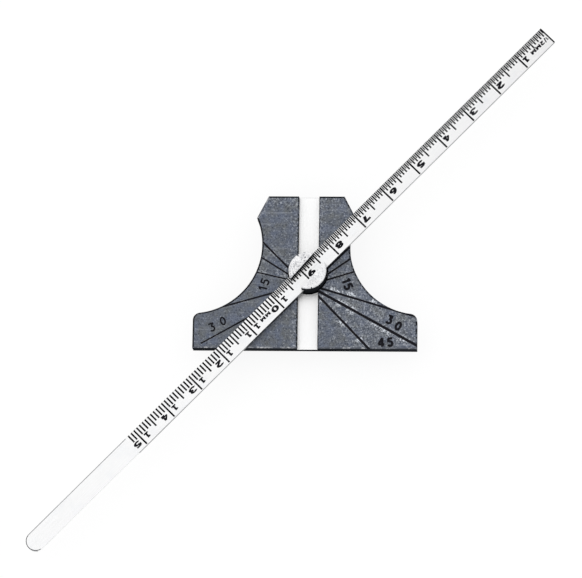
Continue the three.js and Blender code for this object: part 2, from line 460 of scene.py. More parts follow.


# The turret's top: bright, matt, speckled, with a few dark pits, and painted lighter towards the lower right,
# a painted highlight
def makeTurretSteel():
    look = {
        "scales": (2800, 520, 2400),
        "low": (0.27, 0.28, 0.31),
        "high": (0.95, 0.95, 0.96),
        "pit": (0.05, 0.055, 0.07),
    }
    material, tree, shader, place = newMaterial("turretSteel", 1, 0.42)
    grain = grainNode(tree, place, look["scales"])
    base = mixColours(tree, rampNode(tree, grain["Grain"], 0.28, 0.54, 0, 1), look["low"], look["high"])
    x, y, z = splitNode(tree, place)
    # Painted highlight: the top is made lighter towards the lower right
    paintedLightLowerRight = rampNode(tree, mathNode(tree, "SUBTRACT", x, y), -2 * mm, 3 * mm, 0, 0.45)
    base = mixColours(tree, paintedLightLowerRight, base, look["high"])
    pits = groupNode(tree, pitGroup, {"Vector": place, "Scale": 900, "Size": 0.17})
    base = mixColours(tree, pits["Mask"], base, look["pit"])
    rough = rampNode(tree, grain["Mottle"], 0.35, 0.65, 0.36, 0.52)
    feed(tree, shader, {"Base Color": base, "Roughness": rough})
    addBump(tree, shader, grain["Grain"], 0.015 * mm, 0.6)
    return material


# Finishes whose base is overlaid with other colours by masks. "surface" is metallic, roughness and, where it
# isn't 0.5, specular. A ramp goes from two values of its mask to two values of what it feeds.
finishes = {
    # The rule's face: satin, nearly white, with a very fine lengthwise grain
    "satinSteel": {
        "surface": (1, 0.36),
        "turn": -ruleTurn,
        "scales": (3000, 220, 4200),
        "base": (0.85, 0.853, 0.86),
        "layers": (
            ("Scratches", (0.25, 0.6, 0, 1), (0.955, 0.955, 0.957)),
            ("Mottle", (0.5, 0.72, 0, 0.6), (0.85, 0.865, 0.89)),
        ),
        "roughness": ("Scratches", (0.3, 0.7, 0.3, 0.46)),
        "bump": ("Scratches", 0.006 * mm, 0.5),
    },
    # Turned steel of the nut and the thrust washer
    "turnedSteel": {
        "surface": (1, 0.3),
        "rings": 7000,
        "scales": (2600, 380, 2600),
        "base": (0.5, 0.505, 0.51),
        "layers": (
            ("Rings", (0.3, 0.7, 0, 1), (0.72, 0.72, 0.725)),
            ("Mottle", (0.5, 0.7, 0, 0.35), (0.5, 0.505, 0.51)),
        ),
        "roughness": ("Mottle", (0.35, 0.65, 0.24, 0.42)),
        "bump": ("Rings", 0.01 * mm, 0.6),
    },
    # Where edges are rubbed, the oxide has gone in patches and bare steel shows
    "rubbedEdge": {
        "surface": (0.9, 0.42),
        "scales": (1500, 260, 2600),
        "base": (0.105, 0.114, 0.138),
        "layers": (("Worn", (0.25, 0.36, 0, 1), (0.5, 0.51, 0.53)),),
    },
    # Milled flanks and edges, blackened and dull, and painted near black without shine as painted shade: the
    # shade of walls and edge slopes on the head, the turret and round the rule's tip
    "blackenedWallAndShade": {
        "surface": (0, 0.6, 0),
        "scales": (2600, 400, 1800),
        "base": (0.008, 0.009, 0.011),
        "layers": (("Scratches", (0.35, 0.7, 0, 1), (0.026, 0.028, 0.033)),),
        "bump": ("Scratches", 0.02 * mm, 0.5),
    },
    # The groove's upper edges and the right flank's: black, broken by spots of oxide; the black is painted
    # shade along the edges
    "raggedEdge": {
        "surface": (0, 0.6, 0),
        "scales": (1700, 400, 1800),
        "base": (0.014, 0.015, 0.019),
        "layers": (("Grain", (0.48, 0.58, 0, 1), (0.15, 0.165, 0.2)),),
    },
    # Ground steel in the head's groove, and on the lower edge of the rule's shank, where it is made bright as
    # a painted reflection of the white beside it
    "groundSteelAndReflection": {
        "surface": (0.65, 0.35),
        "turn": math.radians(90),
        "scales": (2200, 160, 3200),
        "base": (0.955, 0.957, 0.96),
        "layers": (("Scratches", (0.3, 0.6, 0, 1), (1, 1, 1)),),
        "roughness": ("Scratches", (0.3, 0.7, 0.3, 0.4)),
        "bump": ("Scratches", 0.003 * mm, 0.5),
    },
    # The rule's edges: bare steel that mirrors what lies beside it, darkened as painted shade of the walls
    # and a painted dark reflection of the head, and the painted shade line along the shank's upper edge
    "ruleEdgeShade": {
        "surface": (1, 0.38),
        "scales": (2400, 300, 2000),
        "base": (0.24, 0.242, 0.25),
        "layers": (("Mottle", (0.4, 0.7, 0, 0.7), (0.42, 0.42, 0.43)),),
    },
    # The black in the rule's and the head's engraved marks
    "blackFill": {
        "surface": (0, 0.7, 0),
        "scales": (5000, 900, 2000),
        "base": (0.006, 0.006, 0.008),
        "layers": (("Grain", (0, 1, 0, 1), (0.02, 0.02, 0.024)),),
    },
    # Tempered spring steel of the leaf and the wave washer
    "springSteel": {
        "surface": (1, 0.28),
        "scales": (2600, 300, 2600),
        "base": (0.24, 0.25, 0.28),
        "layers": (("Mottle", (0.35, 0.65, 0, 1), (0.36, 0.37, 0.39)),),
        "roughness": ("Grain", (0.3, 0.7, 0.24, 0.36)),
    },
}


def makeFinish(name):
    look = finishes[name]
    material, tree, shader, place = newMaterial(name, *look["surface"])
    masks = {}
    if "rings" in look:
        inputs = {"Vector": place, "Rings Per Metre": look["rings"]}
        masks["Rings"] = groupNode(tree, latheGroup, inputs)["Rings"]
    if "turn" in look:
        place = mappingNode(tree, place, "Rotation", (0, 0, look["turn"]))
    masks.update(grainNode(tree, place, look["scales"]).items())
    masks["Worn"] = mathNode(tree, "MULTIPLY", masks["Mottle"], masks["Grain"])
    base = look["base"]
    for mask, ramp, colour in look["layers"]:
        base = mixColours(tree, rampNode(tree, masks[mask], *ramp), base, colour)
    feed(tree, shader, {"Base Color": base})
    if "roughness" in look:
        mask, ramp = look["roughness"]
        feed(tree, shader, {"Roughness": rampNode(tree, masks[mask], *ramp)})
    if "bump" in look:
        mask, distance, strength = look["bump"]
        addBump(tree, shader, masks[mask], distance, strength)
    return material


bluedSteel = makeBluedSteel()
turretSteel = makeTurretSteel()
satinSteel = makeFinish("satinSteel")
turnedSteel = makeFinish("turnedSteel")
rubbedEdge = makeFinish("rubbedEdge")
blackenedWallAndShade = makeFinish("blackenedWallAndShade")
raggedEdge = makeFinish("raggedEdge")
groundSteelAndReflection = makeFinish("groundSteelAndReflection")
ruleEdgeShade = makeFinish("ruleEdgeShade")
blackFill = makeFinish("blackFill")
springSteel = makeFinish("springSteel")
print("materials made")


# Characters drawn with a pen, one unit high: a pair is a point, six numbers are an arc by its centre,
# radii and angles. Strokes of a character are cut one after another.
glyphs = {
    "0": (((0.32, 0.5, 0.24, 0.42, 90, 450),),),
    "1": (((0.36, 0), (0.36, 1)), ((0.34, 0.92), (0.12, 0.72))),
    "2": (((0.32, 0.68, 0.24, 0.24, 165, -35), (0.1, 0.1)), ((0.04, 0.09), (0.62, 0.09))),
    "3": (((0.28, 0.73, 0.24, 0.19, 170, -90),), ((0.28, 0.3, 0.28, 0.22, 90, -170),)),
    "4": (((0.46, 1), (0.04, 0.3)), ((0, 0.27), (0.68, 0.27)), ((0.46, 0), (0.46, 1))),
    "5": (((0.12, 0.92), (0.6, 0.92)), ((0.16, 0.96), (0.12, 0.5)), ((0.3, 0.33, 0.26, 0.26, 130, -150),)),
    "6": (((0.32, 0.3, 0.24, 0.23, 90, 450),), ((0.52, 0.36, 0.43, 0.56, 180, 95),)),
    "7": (((0.09, 0.7), (0.09, 0.91), (0.62, 0.91)), ((0.54, 0.9), (0.38, 0.5), (0.3, 0))),
    "8": (((0.32, 0.73, 0.2, 0.19, 90, 450),), ((0.32, 0.29, 0.25, 0.22, 90, 450),)),
    "9": (((0.32, 0.7, 0.24, 0.23, 90, 450),), ((0.12, 0.64, 0.43, 0.56, 0, -85),)),
    "M": (
        ((0.1, 0), (0.1, 1)),
        ((0.9, 0), (0.9, 1)),
        ((0.12, 0.97), (0.5, 0.15)),
        ((0.88, 0.97), (0.5, 0.15)),
    ),
    "/": (((0.1, -0.1), (0.5, 1.1)),),
    "flat 3": (
        ((0.04, 0.93), (0.6, 0.93)),
        ((0.56, 0.94), (0.27, 0.58)),
        ((0.27, 0.33, 0.27, 0.26, 95, -150),),
    ),
    "footed 1": (((0.34, 0), (0.34, 1)), ((0, 0.08), (0.68, 0.08)), ((0.04, 0.8), (0.31, 0.86))),
    "footed 4": (
        ((0.46, 1), (0.06, 0.34)),
        ((0, 0.31), (0.68, 0.31)),
        ((0.46, 0), (0.46, 1)),
        ((0.24, 0.07), (0.68, 0.07)),
    ),
}
glyphMiddles = {"M": 0.5, "/": 0.3}
digitMiddle = 0.32
penStrokes = {}


def arcPoints(x, y, acrossRadius, upRadius, start, end):
    steps = max(4, round(abs(end - start) / 20))
    angles = [math.radians(start + (end - start) * i / steps) for i in range(steps + 1)]
    return [(x + acrossRadius * math.cos(a), y + upRadius * math.sin(a)) for a in angles]


# One stroke as a block with upright sides: a path that is drawn out point by point, raised and thickened
def addStroke(stroke, pen):
    points = []
    for part in stroke:
        points.extend([part] if len(part) == 2 else arcPoints(*part))
    path = startPath("stroke", points[0][0] * mm, points[0][1] * mm, 0)
    for (x0, y0), (x1, y1) in zip(points, points[1:]):
        drawOn((x1 - x0) * mm, (y1 - y0) * mm)
    bpy.ops.mesh.select_all(action="SELECT")
    bpy.ops.mesh.remove_doubles(threshold=0.002 * mm)
    bpy.ops.mesh.extrude_edges_move(TRANSFORM_OT_translate={"value": (0, 0, mm)})
    faceOutwards()
    applyModifier(path, "SOLIDIFY", thickness=pen * mm, offset=0, use_even_offset=True)
    enterEdit(path)
    faceOutwards()
    path.data.materials.append(blackFill)
    return path


# Cuts characters into a face. Each is given as (character, (x, y), turn in degrees, height, stretch)
def engrave(piece, characters, pen, depth, face):
    layers = {}
    for glyph, centre, turn, height, stretch in characters:
        if (glyph, pen) not in penStrokes:
            penStrokes[glyph, pen] = [addStroke(stroke, pen) for stroke in glyphs[glyph]]
        middle = Matrix.Translation((-glyphMiddles.get(glyph, digitMiddle) * mm, -0.5 * mm, 0))
        for layer, stroke in enumerate(penStrokes[glyph, pen]):
            deep = depth * (1 - 0.03 * layer)  # so that crossing strokes have no floor in common
            size = Matrix.Diagonal((stretch * height / mm, height / mm, (deep + overrun) / mm, 1))
            spot = Matrix.Translation((*centre, face - deep)) @ Matrix.Rotation(math.radians(turn), 4, "Z")
            copy = stroke.copy()
            copy.data = stroke.data.copy()
            bpy.context.scene.collection.objects.link(copy)
            copy.data.transform(spot @ size @ middle)
            layers.setdefault(layer, []).append(copy)
    for layer in sorted(layers):
        cutOut(piece, joined(layers[layer]))
    # a cut can leave walls of a cutter standing on the face
    slicePiece(piece, (0, 0, face + barelyAbove), (0, 0, 1), True)


def forgetStrokes():
    for strokes in penStrokes.values():
        for stroke in strokes:
            bpy.data.objects.remove(stroke, do_unlink=True)


# Head: half the outline is drawn and spun, mirrored, filled and raised
headSizes = {
    "baseHalf": 29.15 * mm,
    "topHalf": 9.9 * mm,
    "shoulderHalf": 12.9 * mm,
    "baseDrop": 19.9 * mm,
    "topRise": 20.5 * mm,
    "shoulderRise": 14.7 * mm,
    "footHeight": 9.2 * mm,
    "flankRadius": 18.25 * mm,
    "footCorner": 2 * mm,
    "outlineOffset": -0.65 * mm,
    "grooveWidth": 5.32 * mm,
    "grooveDepth": 1.7 * mm,
    "boreRadius": 5.03 * mm,
    "boreStep": 0.21 * mm,
    "edgeWidth": 0.1 * mm,
    "outlineWidth": 0.42 * mm,  # of the strip along the outline: rubbed in places, black as painted shade elsewhere
    "raggedWidth": 0.3 * mm,  # of the bands beside the groove
    "stripArea": 0.0001,  # square metres; the top's smaller faces are the strip
    "raggedFrom": 10 * mm,  # the strip is ragged to the right of this
    "rubbedFoot": (24 * mm, -13.5 * mm, -9.5 * mm),  # the right foot's shoulder: its left, bottom and top
    "rubbedSlant": (-10 * mm, 14.9 * mm),  # the slanted edge: its right and bottom
}
headNumbers = {
    "height": 2.3 * mm,
    "depth": 0.14 * mm,
    "leftPen": 0.19,
    "rightPen": 0.28,
    # Each digit was punched by hand: its shape, place in millimetres and turn in degrees
    "punched": (
        ("1", (-11.76, -3.99), 78),
        ("5", (-11.2, -2.3), 70),
        ("1", (9.97, -1.96), -71),
        ("5", (10.51, -3.41), -66),
        ("flat 3", (-24.76, -14.37), 23),
        ("0", (-21.97, -12.75), 20),
        ("flat 3", (21.34, -12.15), -22),
        ("0", (23.59, -13.81), -27),
        ("4", (19.17, -18.15), 0),
        ("5", (21.5, -18.05), 4),
        ("4", (-20.3, -18.4), -3),
        ("5", (-17.9, -18.2), 2),
    ),
}


def spinPoint(centre, angle, steps):
    bpy.ops.mesh.spin(steps=steps, angle=-angle, center=(centre.x, centre.y, headBack), axis=(0, 0, 1))


def drawHeadOutline():
    s = headSizes
    plate = startPath("headPlate", 0, -s["baseDrop"], headBack)
    flank = Vector((0, s["footHeight"] - s["baseDrop"] + s["flankRadius"]))
    shoulder = Vector((s["shoulderHalf"], s["shoulderRise"]))
    flank.x = shoulder.x + math.sqrt(s["flankRadius"] ** 2 - (shoulder.y - flank.y) ** 2)
    corner = Vector((s["baseHalf"] - s["footCorner"], 0))
    corner.y = flank.y - math.sqrt((s["flankRadius"] + s["footCorner"]) ** 2 - (flank.x - corner.x) ** 2)
    meeting = math.atan2(flank.y - corner.y, flank.x - corner.x)
    shoulderAngle = math.atan2(shoulder.y - flank.y, shoulder.x - flank.x)

    drawOn(s["baseHalf"], 0)
    drawOn(0, corner.y + s["baseDrop"])
    spinPoint(corner, meeting, 14)
    spinPoint(flank, shoulderAngle - (meeting + math.pi), 72)
    drawOn(s["topHalf"] - shoulder.x, s["topRise"] - shoulder.y)
    drawOn(-s["topHalf"], 0)
    leaveEdit()
    return plate


def raiseHead(plate):
    s = headSizes
    applyModifier(plate, "MIRROR", use_clip=True, merge_threshold=0.01 * mm)
    enterEdit(plate)
    bpy.ops.mesh.remove_doubles(threshold=0.005 * mm)
    bpy.ops.mesh.edge_face_add()
    extrudeFaces(headFace - headBack)
    bpy.ops.mesh.select_all(action="SELECT")
    bpy.ops.transform.translate(value=(s["outlineOffset"], 0, 0))
    faceOutwards()


# One engraved line from the turret outwards: a black bottom between two narrow slanted burrs
def addLineCutter(degrees, side):
    line = angleLine
    reach = 2 * headSizes["baseHalf"]
    if side < 0:
        reach = line["leftReach"].get(degrees, reach)
    width, stray, drop = line["cut"][degrees][side > 0]
    half = width * mm / 2
    middle = -ruleWidth / 2 - drop * mm
    own = 1 + degrees / 500  # so that crossing lines have no floor in common
    burrDepth = line["burrDepth"] * own
    deep = headFace - line["depth"] * own
    burrBottom = headFace - burrDepth
    ends = sorted((0, side * reach))
    low = (ends[0], middle - half, deep)
    cutter = addBlock("lineCutter", low, (ends[1], middle + half, burrBottom), blackFill)
    cutter.data.materials.append(rubbedEdge)
    pick(cutter, "FACE", lambda normal: normal.z > 0.5)
    widened = (half + line["burrAndGlint"]) / half
    extrudeFaces(burrDepth)
    bpy.ops.transform.resize(value=(1, widened, 1), center_override=(0, middle, headFace))
    extrudeFaces(overrun)
    leaveEdit()
    for face in cutter.data.polygons:
        if burrBottom < face.center.z < headFace:
            face.material_index = 1
    turnPiece(cutter, math.radians(degrees + stray))
    return cutter


# A strip along the top face's outline. By the measuring edge, on the right foot's shoulder and by the slanted
# edge it is rubbed; on the right flank it is ragged; elsewhere it is black. The black and the ragged parts
# are painted shade.
def markOutline(plate):
    s = headSizes
    pick(plate, "FACE", lambda normal: normal.z > 0.9)
    bpy.ops.mesh.inset(thickness=s["outlineWidth"], depth=0)
    leaveEdit()

    def strip(face):
        return face.normal.z > 0.9 and face.area < s["stripArea"]

    def rubbed(face):
        x, y, z = face.center
        left, bottom, top = s["rubbedFoot"]
        foot = x > left and bottom < y < top
        right, bottom = s["rubbedSlant"]
        return y < s["outlineWidth"] - s["baseDrop"] or foot or (x < right and y > bottom)

    repaint(plate, blackenedWallAndShade, lambda f: strip(f) and not rubbed(f) and f.center.x < s["raggedFrom"])
    repaint(plate, raggedEdge, lambda f: strip(f) and not rubbed(f) and f.center.x > s["raggedFrom"])
    repaint(plate, rubbedEdge, lambda f: strip(f) and rubbed(f))


# All walls and the slopes of the edges are black, painted shade, and bands beside the groove are ragged,
# painted shade broken by spots of oxide
def paintHeadEdges(plate):
    s = headSizes
    ragged = s["grooveWidth"] / 2 + s["raggedWidth"]
    for side in (-ragged, ragged):
        slicePiece(plate, (side, 0, 0), (1, 0, 0))
    oxide, slope, ground = (materialIndex(plate, m) for m in (bluedSteel, blackFill, groundSteelAndReflection))
    repaint(plate, blackenedWallAndShade, lambda f: f.material_index in (oxide, ground) and abs(f.normal.z) < 0.5)
    repaint(plate, blackenedWallAndShade, lambda f: f.material_index == slope)

    def beside(face):
        return face.material_index == oxide and face.normal.z > 0.5 and abs(face.center.x) < ragged

    repaint(plate, raggedEdge, beside)


def makeHead():
    s = headSizes
    plate = drawHeadOutline()
    raiseHead(plate)
    plate.data.materials.append(bluedSteel)
    plate.data.materials.append(blackFill)
    markOutline(plate)
    reach = 2 * s["baseHalf"]
    half = s["grooveWidth"] / 2
    over = headFace + overrun
    low = (-half, -reach, headFace - s["grooveDepth"])
    cutOut(plate, addBlock("grooveCutter", low, (half, reach, over), groundSteelAndReflection))
    cutOut(plate, addRod("boreCutter", s["boreRadius"], headBack - overrun, over, 128, blackenedWallAndShade))
    # The step round the bore is painted near black: painted shade in the gap round the turret
    stepBottom = headFace - s["grooveDepth"] - s["boreStep"]
    cutOut(plate, addRod("stepCutter", s["boreRadius"] + s["boreStep"], stepBottom, over, 128, blackenedWallAndShade))
    softenEdges(plate, s["edgeWidth"], material=1)
    paintHeadEdges(plate)
    for degrees in angleLine["cut"]:
        cutOut(plate, addLineCutter(degrees, -1))
        cutOut(plate, addLineCutter(degrees, 1))
    n = headNumbers
    digits = [(glyph, (x * mm, y * mm), turn, n["height"], 1) for glyph, (x, y), turn in n["punched"]]
    for pen, sign in ((n["leftPen"], -1), (n["rightPen"], 1)):
        engrave(plate, [digit for digit in digits if digit[1][0] * sign > 0], pen, n["depth"], headFace)
    finishPiece(plate, "head", "head")


# Rule: drawn along X with its zero end at +X, cut, then swung to its angle
ruleSizes = {
    "length": 190.4 * mm,
    "zeroReach": 89 * mm,
    "edgeWidth": 0.06 * mm,
    "endLine": 0.42 * mm,
    "plainFrom": 153 * mm,
    "outlineWidth": 0.17 * mm,  # of the strip of painted shade along the shank's upper edge and tip
    "tipLength": 2.1 * mm,
    "markDepth": 0.03 * mm,  # at a mark's shallow side; its floor slants as the graver left it
    "markSlant": 1,
    "numberDepth": 0.06 * mm,
    "numberHeight": 1.47 * mm,
    "numberPen": 0.28,
    "heavyPen": 0.32,  # of the digits up to heavyTo, except the 3, whose bowls would close
    "unitHeight": 1.05 * mm,
    "unitPen": 0.3,
    "fourPen": 0.23,  # a 4 drawn with the other digits' pen would fill up
    "heavyTo": 95,  # millimetres from the zero end
    # Up to where, in millimetres, the numbers stand how far below the rule's middle
    "numberDrops": ((40, 0.65 * mm), (95, 0.74 * mm), (200, 0.82 * mm)),
    "unitDrop": 0.5 * mm,
    "hundredBefore": 1.7,  # how many millimetres before its mark the 1 of 100 and above stands
    "tipFlat": 0.01 * mm,  # left between the tip's two rounded corners
    "stripArea": 0.00002,  # square metres; the shank's smaller faces are the strip
    "brightEdgeFrom": 1.2 * mm,  # from the tip, where the shank's lower edge gets bright: a painted reflection of the white beside it
}
# first mark, then how many at what pitch (twice, for rows of rows), length and width, in millimetres
ruleMarks = (
    (0.5, (100, 1), (1, 1), 1.4, 0.29),
    (1, (4, 1), (20, 5), 2.15, 0.42),
    (101, (4, 1), (10, 5), 2.38, 0.47),
    (151, (2, 1), (1, 1), 2.38, 0.47),
    (5, (1, 1), (1, 1), 2.6, 0.42),
    (15, (1, 1), (9, 10), 3.35, 0.43),
    (105, (1, 1), (1, 1), 2.35, 0.46),
    (115, (1, 1), (4, 10), 3.35, 0.46),
    (10, (1, 1), (15, 10), 5.0, 0.47),
)


def repeat(piece, count, step):
    if count < 2:
        return
    row = {"use_relative_offset": False, "use_constant_offset": True}
    applyModifier(piece, "ARRAY", constant_offset_displace=(-step, 0, 0), count=count, **row)


def addMarkRow(first, near, far, length, width):
    s = ruleSizes
    x = s["zeroReach"] - first * mm
    edge = ruleWidth / 2
    half = width * mm / 2
    low = (x - half, edge - length * mm, ruleTop - s["markDepth"] - half * s["markSlant"])
    row = addBlock("markRow", low, (x + half, edge + overrun, ruleTop + overrun), blackFill)
    for point in row.data.vertices:
        if point.co.z < ruleTop:
            point.co.z += s["markSlant"] * (point.co.x - x)
    repeat(row, near[0], near[1] * mm)
    repeat(row, far[0], far[1] * mm)
    return row


# Each digit's distance from the zero end in millimetres and its stretch. The digits are broader than they
# are high, so their upright strokes are heavy. Past 100 each mark has a digit on either side.
ruleNumbers = (
    ("footed 1", 8.7, 1.35),
    ("2", 18.33, 2.05),
    ("3", 28.36, 1.95),
    ("footed 4", 38.25, 1.75),
    ("5", 47.97, 1.95),
    ("6", 58.12, 1.85),
    ("7", 68.35, 1.95),
    ("8", 78.1, 1.9),
    ("9", 88.38, 1.95),
    ("0", 101.8, 2.0),
    ("footed 1", 111.45, 1.35),
    ("2", 122.1, 2.05),
    ("3", 131.85, 1.95),
    ("footed 4", 141.85, 1.75),
    ("5", 151.75, 1.95),
)
# The units: distance from the zero end, height as a share and stretch
ruleUnits = (
    ("1", 0.85, 0.85, 1),
    ("/", 1.5, 1, 1),
    ("2", 2.55, 0.95, 1.6),
    ("M", 4.1, 0.95, 1.45),
    ("M", 5.85, 0.95, 1.45),
    ("M", 104.15, 0.9, 1.45),
    ("M", 105.9, 0.9, 1.45),
)


def ruleCharacters():
    s = ruleSizes
    hundreds = [("footed 1", number - s["hundredBefore"], 1.35) for number in range(100, 151, 10)]
    numbers, heavy, fours, units = [], [], [], []
    for glyph, along, stretch in (*ruleNumbers, *hundreds):
        drop = next(drop for end, drop in s["numberDrops"] if along < end)
        place = (s["zeroReach"] - along * mm, -drop)
        group = heavy if along < s["heavyTo"] and glyph != "3" else numbers
        group = fours if glyph == "footed 4" else group
        group.append((glyph, place, 180, s["numberHeight"], stretch))
    for glyph, along, share, stretch in ruleUnits:
        place = (s["zeroReach"] - along * mm, -s["unitDrop"])
        units.append((glyph, place, 180, share * s["unitHeight"], stretch))
    return ((numbers, s["numberPen"]), (heavy, s["heavyPen"]), (fours, s["fourPen"]), (units, s["unitPen"]))


# A thin strip of painted shade along the outline of the rule's face: grey on the shank's upper edge, black
# round its tip
def markShankOutline(blade, shank, plain):
    s = ruleSizes
    tip = shank + s["tipLength"]
    slicePiece(blade, (plain, 0, 0), (1, 0, 0))
    pick(blade, "FACE", lambda normal: normal.z > 0.99)
    bpy.ops.mesh.inset(thickness=s["outlineWidth"], depth=0)
    leaveEdit()

    def strip(face):
        return face.normal.z > 0.99 and face.area < s["stripArea"] and face.center.x < plain

    repaint(blade, ruleEdgeShade, lambda f: strip(f) and f.center.y > 0 and f.center.x > tip)
    repaint(blade, blackenedWallAndShade, lambda f: strip(f) and f.center.x < tip)


def makeRule():
    s = ruleSizes
    half = ruleWidth / 2
    zero = s["zeroReach"]
    shank = zero - s["length"]
    plain = zero - s["plainFrom"]
    blade = addBlock("ruleBlade", (shank, -half, ruleBottom), (zero, half, ruleTop), satinSteel)
    pick(blade, "EDGE", lambda a, b: close(a.x, shank) and close(b.x, shank) and not close(a.z, b.z))
    bpy.ops.mesh.bevel(offset=half - s["tipFlat"], segments=28, profile=0.5, affect="EDGES")
    leaveEdit()
    softenEdges(blade, s["edgeWidth"])
    markShankOutline(blade, shank, plain)
    for row in ruleMarks:
        cutOut(blade, addMarkRow(*row))
    low = (zero - s["endLine"], -half - overrun, ruleTop - s["numberDepth"])
    high = (zero + overrun, half + overrun, ruleTop + overrun)
    cutOut(blade, addBlock("endLine", low, high, blackFill))
    for characters, pen in ruleCharacters():
        engrave(blade, characters, pen, s["numberDepth"], ruleTop)
    satin = materialIndex(blade, satinSteel)

    def side(face):
        return face.material_index == satin and abs(face.normal.z) < 0.8

    def paintedBrightEdge(face):  # the shank's lower edge, made bright as a painted reflection
        return side(face) and shank + s["brightEdgeFrom"] < face.center.x < plain and face.normal.y < 0

    repaint(blade, groundSteelAndReflection, paintedBrightEdge)
    repaint(blade, ruleEdgeShade, side)
    turnPiece(blade, ruleTurn)
    finishPiece(blade, "rule", "rule")


# Turret: a rod with its stem drawn out of the bottom face, slotted for the rule
turretSizes = {
    "radius": 4.9 * mm,
    "barrelBottom": headBack + 0.5 * mm,
    "chamfer": 0.18 * mm,
    "stemRadius": 2.5 * mm,
    "stemChamfer": 0.4 * mm,
    "slotWidth": 5.4 * mm,
    "slotFloor": headFace - 0.15 * mm,
    "slotCeiling": ruleTop + 0.1 * mm,
    "windowWidth": 3.7 * mm,
    "windowSkew": math.radians(3.5),
    "pocketLength": 7.8 * mm,
    "pocketWidth": 3.8 * mm,
    "pocketDepth": 0.45 * mm,
    # How far over the slot's floor the cutters of the window and the pocket end
    "windowLift": 0.1 * mm,
    "pocketLift": 0.05 * mm,
}


def makeTurret():
    s = turretSizes
    body = addRod("turretBody", s["radius"], s["barrelBottom"], turretTop, 128, turretSteel)
    pick(body, "FACE", lambda normal: normal.z < -0.9)
    bpy.ops.mesh.inset(thickness=s["radius"] - s["stemRadius"])
    extrudeFaces(stemBottom - s["barrelBottom"])
    leaveEdit()
    bevelRim(body, stemBottom, s["stemChamfer"])
    bevelRim(body, turretTop, s["chamfer"], 3)
    reach = s["radius"] + overrun
    for name, width, low, high, skew in (
        ("chamber", s["slotWidth"], s["slotFloor"], s["slotCeiling"], 0),
        ("window", s["windowWidth"], s["slotFloor"] + s["windowLift"], turretTop + overrun, s["windowSkew"]),
    ):
        cutter = addBlock(name, (-reach, -width / 2, low), (reach, width / 2, high), blackenedWallAndShade)
        turnPiece(cutter, skew)
        cutOut(body, cutter)
    x, y = s["pocketLength"] / 2, s["pocketWidth"] / 2
    low = (-x, -y, s["slotFloor"] - s["pocketDepth"])
    cutOut(body, addBlock("pocket", low, (x, y, s["slotFloor"] + s["pocketLift"]), blackenedWallAndShade))
    # The turret's upright walls, the crescent round it and the walls of its slot and window, are painted near
    # black: painted shade
    repaint(body, blackenedWallAndShade, lambda face: face.center.z > s["barrelBottom"] and abs(face.normal.z) < 0.3)
    turnPiece(body, ruleTurn)
    finishPiece(body, "turret", "turret")


# Leaf spring: a strip that humps up from flat feet
springSizes = {"length": 7.4 * mm, "width": 3.4 * mm, "thickness": 0.25 * mm, "steps": 40, "edge": 0.03 * mm}


def makeRuleSpring():
    s = springSizes
    low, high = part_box("rule_spring")
    rise = high.z - low.z - s["thickness"]
    x, y = s["length"] / 2, s["width"] / 2
    leaf = addBlock("leafSpring", (-x, -y, low.z), (x, y, low.z + s["thickness"]), springSteel)
    for i in range(1, s["steps"]):
        slicePiece(leaf, (s["length"] * (i / s["steps"] - 0.5), 0, 0), (1, 0, 0))
    for point in leaf.data.vertices:
        point.co.z += rise / 2 * (1 + math.cos(2 * math.pi * point.co.x / s["length"]))
    softenEdges(leaf, s["edge"], segments=1, degrees=50)
    turnPiece(leaf, ruleTurn)
    finishPiece(leaf, "rule_spring", "turret", 20)


# Rings on the stem, made from a circle that is drawn inwards and thickened
washerSizes = {"outer": 6.6 * mm, "inner": 2.75 * mm, "edge": 0.06 * mm}
waveSizes = {"outer": 6.3 * mm, "inner": 3.2 * mm, "thickness": 0.3 * mm, "waves": 3, "edge": 0.04 * mm}


def addRing(name, outer, inner, bottom, thickness, steps, rings, material):
    deselectAll()
    middle = (0, 0, bottom)
    bpy.ops.mesh.primitive_circle_add(vertices=steps, radius=outer, fill_type="NOTHING", location=middle)
    piece = takeNew(name, material)
    enterEdit(piece)
    radius = outer
    for i in range(rings):
        smaller = outer + (inner - outer) * (i + 1) / rings
        bpy.ops.mesh.extrude_edges_move(TRANSFORM_OT_translate={"value": (0, 0, 0)})
        shrink = smaller / radius
        bpy.ops.transform.resize(value=(shrink, shrink, 1), center_override=middle)
        radius = smaller
    bpy.ops.mesh.select_all(action="SELECT")
    extrudeFaces(thickness)
    faceOutwards()
    return piece


def makeWashers():
    low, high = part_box("thrust_washer")
    s = washerSizes
    flat = addRing("thrustRing", s["outer"], s["inner"], low.z, high.z - low.z, 128, 1, turnedSteel)
    softenEdges(flat, s["edge"])
    finishPiece(flat, "thrust_washer", "washers")

    low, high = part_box("wave_washer")
    s = waveSizes
    wave = addRing("waveRing", s["outer"], s["inner"], low.z, s["thickness"], 144, 3, springSteel)
    swing = (high.z - low.z - s["thickness"]) / 2
    for point in wave.data.vertices:
        angle = math.atan2(point.co.y, point.co.x)
        point.co.z += swing * (1 + math.cos(s["waves"] * angle))
    softenEdges(wave, s["edge"], degrees=50)
    turnPiece(wave, ruleTurn)
    finishPiece(wave, "wave_washer", "washers", 20)


# Clamp nut: a chamfered blank with knurled flutes round it and a blind bore
nutSizes = {
    "radius": 7 * mm,
    "chamfer": 0.5 * mm,
    "flutes": 44,
    "fluteDepth": 0.28 * mm,
    "fluteWidth": 0.62 * mm,
    "boreRadius": 2.55 * mm,
    "floor": 1.2 * mm,
    "edge": 0.05 * mm,
}


